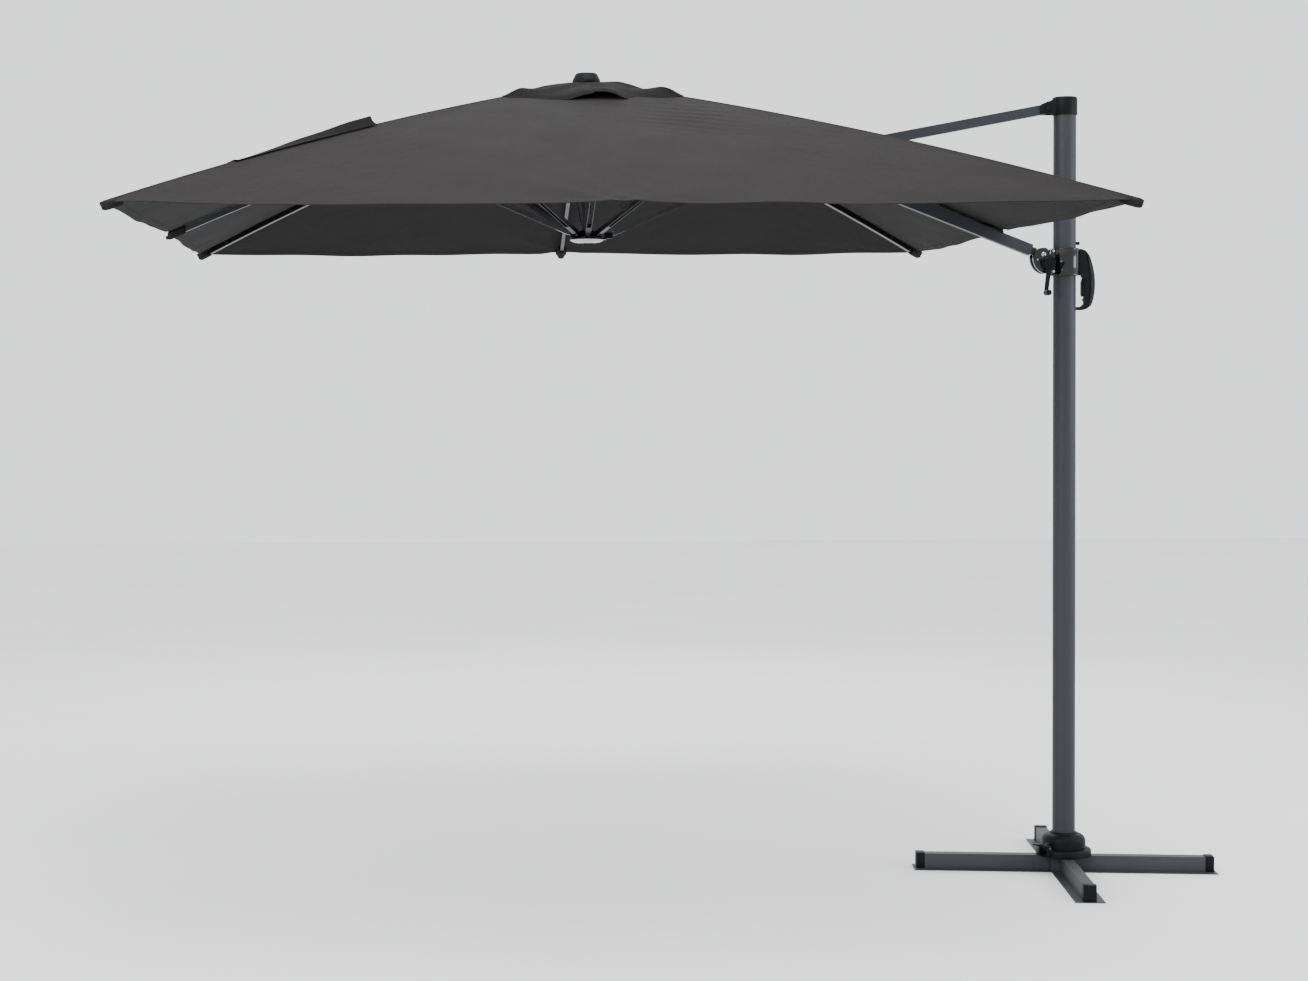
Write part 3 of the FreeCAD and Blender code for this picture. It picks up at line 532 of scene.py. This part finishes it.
def thin_sheet(name, p, normal, thick, uv, keep, materials):
    """A closed sheet below a grid of points. Faces left out of keep leave a hole with a finished edge."""
    rows, columns = p.shape[:2]
    count = rows * columns
    points = np.concatenate([p.reshape(-1, 3), (p - normal * thick[..., None]).reshape(-1, 3)])
    normals = np.concatenate([normal.reshape(-1, 3), -normal.reshape(-1, 3)])
    uvs = np.concatenate([uv.reshape(-1, 2)] * 2)
    top = []
    for r in range(rows - 1):
        for c in range(columns - 1):
            if keep(r, c):
                i = r * columns + c
                top.append((i, i + columns, i + columns + 1, i + 1))
    directed = {(f[k], f[(k + 1) % 4]) for f in top for k in range(4)}
    rim = sorted(e for e in directed if (e[1], e[0]) not in directed)
    faces = list(top)
    faces += [tuple(i + count for i in reversed(f)) for f in top]
    faces += [(j, i, i + count, j + count) for i, j in rim]
    used = sorted({i for f in faces for i in f})
    index = {old: new for new, old in enumerate(used)}
    mesh = bpy.data.meshes.new(name)
    mesh.from_pydata([tuple(points[i]) for i in used], [], [tuple(index[i] for i in f) for f in faces])
    layer = mesh.uv_layers.new(name="cloth")
    corner_normals = []
    for k, f in enumerate(faces):
        wall = k >= 2 * len(top)
        if wall:
            a, b, c = (points[f[j]] for j in (0, 1, 3))
            flat = np.cross(b - a, c - a)
            flat = flat / max(np.linalg.norm(flat), 1e-12)
        for j, old in enumerate(f):
            corner_normals.append(tuple(flat if wall else normals[old]))
            layer.data[mesh.polygons[k].loop_start + j].uv = tuple(uvs[old])
    material_index = np.zeros(len(faces), np.int32)
    material_index[len(top):2 * len(top)] = 1
    for material in materials:
        mesh.materials.append(material)
    mesh.polygons.foreach_set("material_index", material_index)
    mesh.polygons.foreach_set("use_smooth", np.ones(len(faces), bool))
    mesh.normals_split_custom_set(corner_normals)
    mesh.update()
    quads = np.array(top)
    diagonal = np.cross(points[quads[:, 2]] - points[quads[:, 0]], points[quads[:, 3]] - points[quads[:, 1]])
    return mesh, float(np.linalg.norm(diagonal, axis=1).sum() / 2)


def arc_length(line):
    return float(np.linalg.norm(np.diff(line, axis=0), axis=1).sum())


def hem_rows(slope, width, even):
    """Shares of the way to the hem: an even spread, and close rows where the hem is folded."""
    folded = [1 - d / slope for d in (width + HEM_RAMP, width, width / 2, 0.0012)]
    rows = [s for s in np.linspace(0, 1, even) if s < folded[0] - 0.004] + folded + [1.0]
    return np.array(rows)


def cloth_piece(name, grid, chosen, to_hem, hem, keep, joint, slit, cloths):
    """Make one gore, or one side of it, from the chosen columns, and attach it to its rib's body."""
    p, d, h, normal = (g[:, chosen] for g in grid)
    runs = np.linalg.norm(np.diff(p[:, p.shape[1] // 2], axis=0), axis=1)
    down = np.concatenate([[0], np.cumsum(runs)])
    fold = np.broadcast_to(HEM_LIFT * (1 - step(hem, hem + HEM_RAMP, to_hem))[:, None], d.shape)
    if slit is not None:
        first, last, radius = slit
        inside = (step(first - TRIM[1], first - TRIM[0], radius)
                  * (1 - step(last + TRIM[0], last + TRIM[1], radius)))
        beside = 1 - step(SLOT_HALF + TRIM_SIDE[0], SLOT_HALF + TRIM_SIDE[1], np.abs(d))
        fold = fold + TRIM_LIFT * inside[:, None] * beside
    uv = np.stack([d, np.broadcast_to(down[:, None], d.shape)], axis=2)
    mesh, area = thin_sheet(name, p, normal, CLOTH + h + fold, uv, keep, cloths)
    thing = add_object(name, mesh, joint)
    width = max(arc_length(row) for row in p)
    length = max(arc_length(p[:, c]) for c in range(p.shape[1]))
    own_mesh(thing)
    return thing, (round(width, 3), round(length, 3)), area


def stud(name, degrees):
    """The plastic end of a rib, which shows past its pocket."""
    profile = [(0.0, -0.004), (0.0068, -0.004), (0.0068, 0.007), (0.0060, 0.010), (0.004, 0.0118),
               (0.0, 0.0124)]
    points, faces, steps = [], [], 24
    for k in range(steps):
        angle = 2 * math.pi * k / steps
        for r, z in profile[1:-1]:
            points.append(Vector((r * math.cos(angle), r * math.sin(angle), z)))
    rings = len(profile) - 2
    for k in range(steps):
        for j in range(rings - 1):
            a, b = k * rings + j, k * rings + j + 1
            c, d = ((k + 1) % steps) * rings + j + 1, ((k + 1) % steps) * rings + j
            faces.append((a, d, c, b))
    base, top = len(points), len(points) + 1
    points += [Vector((0, 0, profile[0][1])), Vector((0, 0, profile[-1][1]))]
    for k in range(steps):
        after = (k + 1) % steps
        faces.append((k * rings, base, after * rings))
        faces.append((k * rings + rings - 1, after * rings + rings - 1, top))
    end = rib_end(degrees) - 0.002 if not is_corner(degrees) else rib_end(degrees) - 0.010
    z = rib_top(degrees, end) - RIB_TOP_DROP - RIB_DEPTH / 2 - 0.003
    slope = Vector((*heading(degrees)[:2], -0.42)).normalized()
    turn = Vector((0, 0, 1)).rotation_difference(slope).to_matrix()
    place = Vector((CROWN_X, 0, 0)) + Vector(heading(degrees)) * end + Vector((0, 0, z))
    mesh = mesh_from(name, [turn @ v + place for v in points], faces)
    smooth(mesh, 40)
    mesh.materials.append(FINISHES["matte_black"])
    return mesh


def pocket(name, degrees):
    """The sewn pocket that holds a rib's end: a flared sock, widest where it joins the hem."""
    outward, across = heading(degrees), heading(degrees + 90)
    end = rib_end(degrees) + (0.0005 if not is_corner(degrees) else -0.003)
    stations = [(-0.062, 0.0116, 0.0262), (-0.058, 0.0122, 0.0272), (-0.046, 0.0145, 0.0272),
                (-0.032, 0.0190, 0.0272), (-0.016, 0.0240, 0.0270), (-0.006, 0.0262, 0.0262),
                (-0.0015, 0.0250, 0.0240), (0.0, 0.0210, 0.0200)]
    around = 32
    points, faces = [], []
    for offset, half, tall in stations:
        radius = end + offset
        top = rib_top(degrees, radius) - CLOTH - 0.0008
        for k in range(around):
            angle = 2 * math.pi * k / around
            c, sn = math.cos(angle), math.sin(angle)
            u = math.copysign(abs(c) ** 0.62, c)
            v = (math.copysign(abs(sn) ** 0.62, sn) - 1) / 2
            narrow = 0.0118 / half
            taper = 1 - (1 - narrow) * step(0.0, 0.75, -v)
            centre = np.array([CROWN_X, 0, top + v * tall])
            points.append(centre + outward * radius + across * u * half * taper)
    for r in range(len(stations) - 1):
        for k in range(around):
            a, b = r * around + k, r * around + (k + 1) % around
            faces.append((a, a + around, b + around, b))
    last = (len(stations) - 1) * around
    centre = sum(points[last:last + around]) / around
    points.append(centre + outward * 0.0006)
    for k in range(around):
        faces.append((last + k, len(points) - 1, last + (k + 1) % around))
    mesh = mesh_from(name, points, faces)
    smooth(mesh, 50)
    # Painted shade: the pocket hangs under the cloth and takes the darker underside colour.
    mesh.materials.append(CLOTH_UNDER_PAINTED_SHADE)
    return mesh


def solid_skin(thing, thickness):
    """Give an open skin its real thickness, for good."""
    modifier = thing.modifiers.new("thickness", "SOLIDIFY")
    modifier.thickness = thickness
    modifier.offset = -1
    modifier.use_even_offset = True
    bpy.context.view_layer.update()
    done = bpy.data.meshes.new_from_object(thing.evaluated_get(bpy.context.evaluated_depsgraph_get()))
    thing.modifiers.clear()
    thing.data = done
    smooth(done, 50)


def all_columns(grid):
    return slice(0, grid[0].shape[1])


for place, degrees in DIRECTIONS.items():
    body = "rib_" + place
    rows = hem_rows(CANOPY_SLOPE, HEM, GORE_GRID[0])
    hole = VENT_HALF * math.sqrt(2) if is_corner(degrees) else VENT_HALF
    radii = hole + rows * (rib_end(degrees) - hole)
    if place == "mast":
        extra = [SLOT_RADII[0] - e for e in (TRIM[1], TRIM[0], 0.0)]
        extra += [SLOT_RADII[1] + e for e in (0.0, *TRIM)]
        kept = [r for r in radii if min(abs(r - e) for e in extra) > 0.004]
        radii = np.array(sorted(kept + extra))
        rows = (radii - hole) / (rib_end(degrees) - hole)
    grid = whole_gore("canopy", degrees, rows, GORE_GRID[1])
    cover_rows = hem_rows(COVER_SLOPE, COVER_HEM, COVER_GRID[0])
    cover_grid = whole_gore("cover", degrees, cover_rows, COVER_GRID[1])
    add_object("tip_stud_" + place, stud("tip_stud_" + place, degrees), body)
    sock = add_object("rib_pocket_" + place, pocket("rib_pocket_" + place, degrees), body)
    solid_skin(sock, POCKET_SKIN)
    middle = grid[0].shape[1] // 2
    cover_middle = cover_grid[0].shape[1] // 2
    if place == "mast":
        def in_slot(r, beside):
            return SLOT_RADII[0] - 1e-6 <= radii[r] and radii[r + 1] <= SLOT_RADII[1] + 1e-6 and beside

        parts = [
            ("_left", slice(middle, None), lambda r, c: not in_slot(r, c < SLOT_COLUMNS), 1,
             slice(cover_middle, None)),
            ("_right", slice(0, middle + 1), lambda r, c: not in_slot(r, c >= middle - SLOT_COLUMNS), -1,
             slice(0, cover_middle + 1)),
        ]
    else:
        parts = [("", all_columns(grid), lambda r, c: True, 0, all_columns(cover_grid))]
    for ending, chosen, keep, side, cover_chosen in parts:
        name = "canopy_%s%s" % (place, ending)
        slit = (*SLOT_RADII, radii) if place == "mast" else None
        # The cloth's bottom faces take the underside colour, a darker copy of the same cloth that paints
        # shade.
        gore, flat, area = cloth_piece(name, grid, chosen, (1 - rows) * CANOPY_SLOPE, HEM, keep,
                                       body, slit, (CLOTH_TOP, CLOTH_UNDER_PAINTED_SHADE))
        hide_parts("cloth_" + place)
        name = "vent_cover_%s%s" % (place, ending)
        flap, flat, area = cloth_piece(name, cover_grid, cover_chosen, (1 - cover_rows) * COVER_SLOPE,
                                       COVER_HEM, lambda r, c: True, body, None,
                                       (CLOTH_VENT, CLOTH_UNDER_PAINTED_SHADE))
        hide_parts("vent_cover")


def tie_strap():
    """The long closing tie. Its low end is sewn to the hip, and its free end stands up over it."""
    degrees = DIRECTIONS["front_left"]
    outward, across = heading(degrees), heading(degrees + 90)
    first, last, width = 1.630, 1.046, 0.045
    rows, columns = 64, 10
    p = np.zeros((rows, columns, 3))
    for r in range(rows):
        share = r / (rows - 1)
        radius = first + (last - first) * share
        base = rib_top(degrees, radius) + SEAM_HEIGHT + 0.0022 + 0.0035 * (1 - step(0.0, 0.03, share))
        tilt = math.radians(-13 + 50 * share ** 1.25)
        wave = 0.0016 * math.sin(share * 17.0) * share
        for c in range(columns):
            w = c / (columns - 1) * width
            sideways = 0.012 + 0.010 * share - w * math.cos(tilt)
            height = w * math.sin(tilt) - 0.003 * math.sin(math.pi * c / (columns - 1)) * share
            height -= 0.24 * max(sideways, 0) * (1 - share * 0.3)
            lean = 0.004 * share * math.sin(w / width * 5.0 + share * 6.0)
            p[r, c] = (np.array([CROWN_X, 0, base + height + wave * c / columns + 0.0012])
                       + outward * (radius + lean) + across * sideways)
    normal = np.cross(np.gradient(p, axis=0), np.gradient(p, axis=1))
    normal /= np.linalg.norm(normal, axis=2, keepdims=True)
    if normal[..., 2].mean() < 0:
        normal = -normal
    if np.cross(p[1, 0] - p[0, 0], p[0, 1] - p[0, 0])[2] < 0:
        p, normal = p[:, ::-1], normal[:, ::-1]
    down = np.linspace(0, abs(first - last), rows)
    side = np.linspace(0, width, columns)
    uv = np.stack([np.broadcast_to(side, (rows, columns)),
                   np.broadcast_to(down[:, None], (rows, columns))], axis=2)
    edge = np.minimum(side, width - side)
    thick = np.broadcast_to(0.0014 + 0.0006 * (edge < 0.006), (rows, columns))
    mesh, area = thin_sheet("closing_tie", p, normal, thick, uv, lambda r, c: True, (CLOTH_TAPE, CLOTH_TAPE))
    strap = add_object("closing_tie", mesh, "rib_front_left")
    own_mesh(strap)
    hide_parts("tie_strap")


tie_strap()


# Hard parts with rounded edges -----------------------------------------------------------------

softened("top_cap", "mast", "matte_black", 0.0014)
softened("lock_pedal", "pedal", "matte_black", 0.0012)
softened("fixed_ring", "base", "matte_black", 0.0010)
softened("leg_end_caps", "base", "matte_black", 0.0016)


def bevelled_plate(outline, y0, y1, width, segments=3):
    """A plate cut to a closed outline of (x, z) points, from y0 to y1, with rounded rims."""
    shape = bmesh.new()
    front = [shape.verts.new((x, y0, z)) for x, z in outline]
    face = shape.faces.new(front)
    made = bmesh.ops.extrude_face_region(shape, geom=[face])
    moved = [v for v in made["geom"] if isinstance(v, bmesh.types.BMVert)]
    bmesh.ops.translate(shape, verts=moved, vec=(0, y1 - y0, 0))
    rims = [e for e in shape.edges if abs(e.verts[0].co.y - e.verts[1].co.y) < 1e-6]
    bmesh.ops.bevel(shape, geom=rims, offset=width, segments=segments, profile=0.5, affect="EDGES",
                    clamp_overlap=True)
    bmesh.ops.triangulate(shape, faces=[f for f in shape.faces if len(f.verts) > 4])
    bmesh.ops.recalc_face_normals(shape, faces=shape.faces)
    return shape


def turned_on_y(profile, x, z, steps=72):
    """An outline of (radius, y) points, from the axis and back to it, turned about a line along Y."""
    shape = bmesh.new()
    rings = []
    for r, y in profile:
        if r < 1e-6:
            rings.append([shape.verts.new((x, y, z))])
        else:
            turn = [2 * math.pi * k / steps for k in range(steps)]
            rings.append([shape.verts.new((x + r * math.cos(a), y, z + r * math.sin(a))) for a in turn])
    for low, high in zip(rings, rings[1:]):
        for k in range(steps):
            corners = [low[k % len(low)], low[(k + 1) % steps % len(low)],
                       high[(k + 1) % steps % len(high)], high[k % len(high)]]
            shape.faces.new(list(dict.fromkeys(corners)))
    bmesh.ops.recalc_face_normals(shape, faces=shape.faces)
    return shape


def assembled(name, body, finish, shapes, nodes):
    """Put several closed shapes in one piece that stands for these CAD nodes."""
    whole = bmesh.new()
    for shape in shapes:
        part = bpy.data.meshes.new("part")
        shape.to_mesh(part)
        shape.free()
        whole.from_mesh(part)
        bpy.data.meshes.remove(part)
    mesh = bpy.data.meshes.new(name)
    whole.to_mesh(mesh)
    whole.free()
    smooth(mesh, 36)
    thing = add_object(name, mesh, body)
    paint(thing, FINISHES[finish])
    if nodes:
        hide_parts(*nodes)
    return thing


def rounded(outline, rounds=2):
    """Cut the corners of an outline again and again, so that it runs in a smooth curve."""
    for _ in range(rounds):
        after = outline[1:] + outline[:1]
        cut = []
        for (ax, az), (bx, bz) in zip(outline, after):
            cut += [(0.75 * ax + 0.25 * bx, 0.75 * az + 0.25 * bz),
                    (0.25 * ax + 0.75 * bx, 0.25 * az + 0.75 * bz)]
        outline = cut
    return outline


def slider_parts():
    cheek = [(-0.066, 2.2095), (-0.0655, 2.191), (-0.060, 2.187), (-0.0545, 2.191), (-0.054, 2.2075),
             (-0.040, 2.2075), (-0.0395, 2.118), (-0.053, 2.118), (-0.0535, 2.128), (-0.059, 2.131),
             (-0.0645, 2.127), (-0.066, 2.119), (-0.080, 2.119), (-0.096, 2.127), (-0.109, 2.141),
             (-0.117, 2.159), (-0.119, 2.177), (-0.116, 2.192), (-0.107, 2.204), (-0.092, 2.2105)]
    bezel = [(0, -0.0285), (0.029, -0.0285), (0.029, -0.032), (0.0275, -0.0335), (0.0258, -0.0335),
             (0.025, -0.0305), (0, -0.0305)]
    shapes = [bevelled_plate(rounded(cheek, 1), -0.0300, -0.0125, 0.0022),
              bevelled_plate(rounded(cheek, 1), 0.0125, 0.0300, 0.0022),
              bevelled_plate([(-0.056, 2.121), (-0.0405, 2.121), (-0.0405, 2.136), (-0.056, 2.136)],
                             -0.0130, 0.0130, 0.0008, 1),
              turned_on_y(bezel, *WINCH)]
    assembled("slider_cheeks", "slider", "gloss_black", shapes, ["slider_housing"])
    heads = []
    for x, z, r in ((-0.047, 2.1985, 0.0050), (-0.047, 2.1265, 0.0050), (-0.104, 2.168, 0.0034),
                    (BOOM_PIVOT[0], BOOM_PIVOT[1], 0.0080)):
        heads.append(turned_on_y([(0, -0.0295), (r, -0.0295), (r, -0.0318), (r * 0.82, -0.0330),
                                  (r * 0.45, -0.0334), (r * 0.40, -0.0318), (0, -0.0318)], x, z, 32))
    heads.append(turned_on_y([(0, -0.0295), (0.0050, -0.0295), (0.0050, 0.0295), (0.0080, 0.0295),
                              (0.0080, 0.0320), (0.0064, 0.0330), (0, 0.0330)], *BOOM_PIVOT, 32))
    assembled("slider_fixings", "slider", "bright_steel", heads, ["slider_pins"])


def grip_parts():
    back = [(0.0455, 2.2065), (0.060, 2.2065), (0.074, 2.2005), (0.084, 2.187), (0.090, 2.168),
            (0.0965, 2.145), (0.1020, 2.118), (0.1040, 2.088), (0.1025, 2.055), (0.0975, 2.026),
            (0.0895, 2.005), (0.0770, 1.994), (0.060, 1.9895), (0.0420, 1.9905)]
    fingers = []
    for k in range(5):
        base = 2.0075 + 0.0195 * k
        fingers += [(0.0610, base), (0.0672, base + 0.0045), (0.0685, base + 0.0098),
                    (0.0672, base + 0.0150)]
    front = ([(0.0420, 2.0015), (0.0585, 2.0020)] + fingers
             + [(0.0605, 2.1060), (0.0590, 2.1125), (0.0455, 2.1130)])
    core = [(x - 0.010 if 2.02 < z < 2.17 and x > 0.08 else x, z) for x, z in back] + front
    shell = [(0.0780, 2.1925), (0.0860, 2.184), (0.0915, 2.168), (0.0980, 2.145), (0.1035, 2.118),
             (0.1056, 2.088), (0.1042, 2.055), (0.0990, 2.026), (0.0910, 2.005), (0.0840, 2.0025),
             (0.0830, 2.012), (0.0868, 2.030), (0.0905, 2.056), (0.0920, 2.088), (0.0900, 2.116),
             (0.0855, 2.142), (0.0810, 2.166)]
    assembled("grip_core", "slider", "matte_black", [bevelled_plate(core, -0.0115, 0.0115, 0.0020)],
              ["pull_grip"])
    assembled("grip_shell", "slider", "polished_black",
              [bevelled_plate(rounded(shell), -0.0150, 0.0150, 0.0045, 4)], [])


def crank_parts():
    boss = [(0, -0.0650), (0.0085, -0.0650), (0.0095, -0.0630), (0.0150, -0.0630), (0.0162, -0.0655),
            (0.0182, -0.0655), (0.0200, -0.0635), (0.0200, -0.0420), (0.0238, -0.0395), (0.0240, -0.0312),
            (0.0070, -0.0308), (0.0070, 0.0280), (0, 0.0280)]
    (x0, z0), (x1, z1) = WINCH, CRANK_END
    length = math.hypot(x1 - x0, z1 - z0)
    ux, uz = (x1 - x0) / length, (z1 - z0) / length
    arm = []
    for distance, half in ((0.0, 0.0090), (length, 0.0072), (length + 0.0060, 0.0045)):
        arm.append((x0 + ux * distance - uz * half, z0 + uz * distance + ux * half))
    for distance, half in ((length + 0.0060, 0.0045), (length, 0.0072), (0.0, 0.0090)):
        arm.append((x0 + ux * distance + uz * half, z0 + uz * distance - ux * half))
    foot = [(0, -0.0980), (0.0040, -0.0980), (0.0040, -0.0602), (0.0086, -0.0602), (0.0090, -0.0590),
            (0.0090, -0.0548), (0.0080, -0.0541), (0, -0.0541)]
    shapes = [turned_on_y(boss, *WINCH), bevelled_plate(arm, -0.0600, -0.0541, 0.0014),
              turned_on_y(foot, *CRANK_END, 40)]
    assembled("crank_body", "crank", "matte_black", shapes, ["crank_arm"])


def collar_part():
    profile = [(0.0441, 2.1112), (0.0500, 2.1112), (0.0513, 2.1118), (0.0520, 2.1133), (0.0520, 2.1175),
               (0.0514, 2.1185), (0.0514, 2.2015), (0.0520, 2.2025), (0.0520, 2.2067), (0.0513, 2.2082),
               (0.0500, 2.2088), (0.0441, 2.2088)]
    mesh = lathed("slider_sleeve", profile, (0.0, 0.0), 144)
    smooth(mesh, 36)
    thing = add_object("slider_sleeve", mesh, "slider")
    paint(thing, FINISHES["polished_black"])
    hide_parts("slider_collar")


def finial_part():
    profile = [(0.0120, 2.7700), (0.0120, 2.7932), (0.0470, 2.7932), (0.0490, 2.7945), (0.0495, 2.7975),
               (0.0490, 2.8050), (0.0480, 2.8068), (0.0415, 2.8190), (0.0385, 2.8250), (0.0350, 2.8282),
               (0.0300, 2.8290), (0.0008, 2.8290), (0.0008, 2.7700)]
    mesh = lathed("crown_cap", profile, (CROWN_X, 0.0), 96)
    smooth(mesh, 36)
    thing = add_object("crown_cap", mesh, "boom")
    paint(thing, FINISHES["matte_black"])
    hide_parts("finial")


slider_parts()
grip_parts()
crank_parts()
collar_part()
finial_part()
paint(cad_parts["mast_pins"], FINISHES["matte_black"])
paint(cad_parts["grip_trigger"], FINISHES["matte_black"])


# Studio ----------------------------------------------------------------------------------------

def studio():
    floor = bpy.data.meshes.new("floor")
    floor.from_pydata([(-16, -12, 0), (14, -12, 0), (14, 16, 0), (-16, 16, 0)], [], [(0, 1, 2, 3)])
    thing = bpy.data.objects.new("floor", floor)
    bpy.context.scene.collection.objects.link(thing)
    n = Nodes("floor")
    cloud = n.noise(n.place.outputs["Object"], 0.8, 2.0, 0.5)
    n.link(n.ramp(cloud, [(0.3, (0.86, 0.86, 0.86)), (0.7, (0.90, 0.90, 0.90))]),
           n.shader.inputs["Base Color"])
    n.set(Roughness=0.85)
    floor.materials.append(n.material)
    world = bpy.data.worlds.new("studio")
    world.use_nodes = True
    world.node_tree.nodes["Background"].inputs["Color"].default_value = (0.96, 0.97, 1.0, 1)
    world.node_tree.nodes["Background"].inputs["Strength"].default_value = SKY_STRENGTH
    bpy.context.scene.world = world
    for name, place, target, size, power in (
        ("key", (-5.0, -4.9, 3.7), (-0.6, 0, 2.1), 3.2, 260),
        ("top", (-1.4, -1.5, 6.5), (-1.2, 0, 2.0), 4.0, 260),
        ("strip", (3.7, -1.25, 2.35), (0, 0, 2.15), 1.5, 75),
        ("back", (-1.0, 5.5, 4.5), (-1.0, 0, 1.8), 3.5, 120),
    ):
        lamp = bpy.data.lights.new(name, "AREA")
        lamp.shape = "SQUARE"
        lamp.size = size
        lamp.energy = power
        light = bpy.data.objects.new(name, lamp)
        light.location = place
        light.rotation_euler = (Vector(target) - Vector(place)).to_track_quat("-Z", "Y").to_euler()
        bpy.context.scene.collection.objects.link(light)


def camera():
    data = bpy.data.cameras.new("view")
    data.sensor_width = 36.0
    data.lens = LENS_MM
    data.shift_x, data.shift_y = LENS_SHIFT
    data.clip_end = 100
    thing = bpy.data.objects.new("view", data)
    turn = (Matrix.Rotation(math.radians(EYE_TURN["yaw"]), 4, "Z")
            @ Matrix.Rotation(math.radians(EYE_TURN["pitch"]), 4, "X")
            @ Matrix.Rotation(math.radians(EYE_TURN["roll"]), 4, "Z"))
    thing.matrix_world = Matrix.Translation(EYE) @ turn
    bpy.context.scene.collection.objects.link(thing)
    bpy.context.scene.camera = thing


studio()
camera()
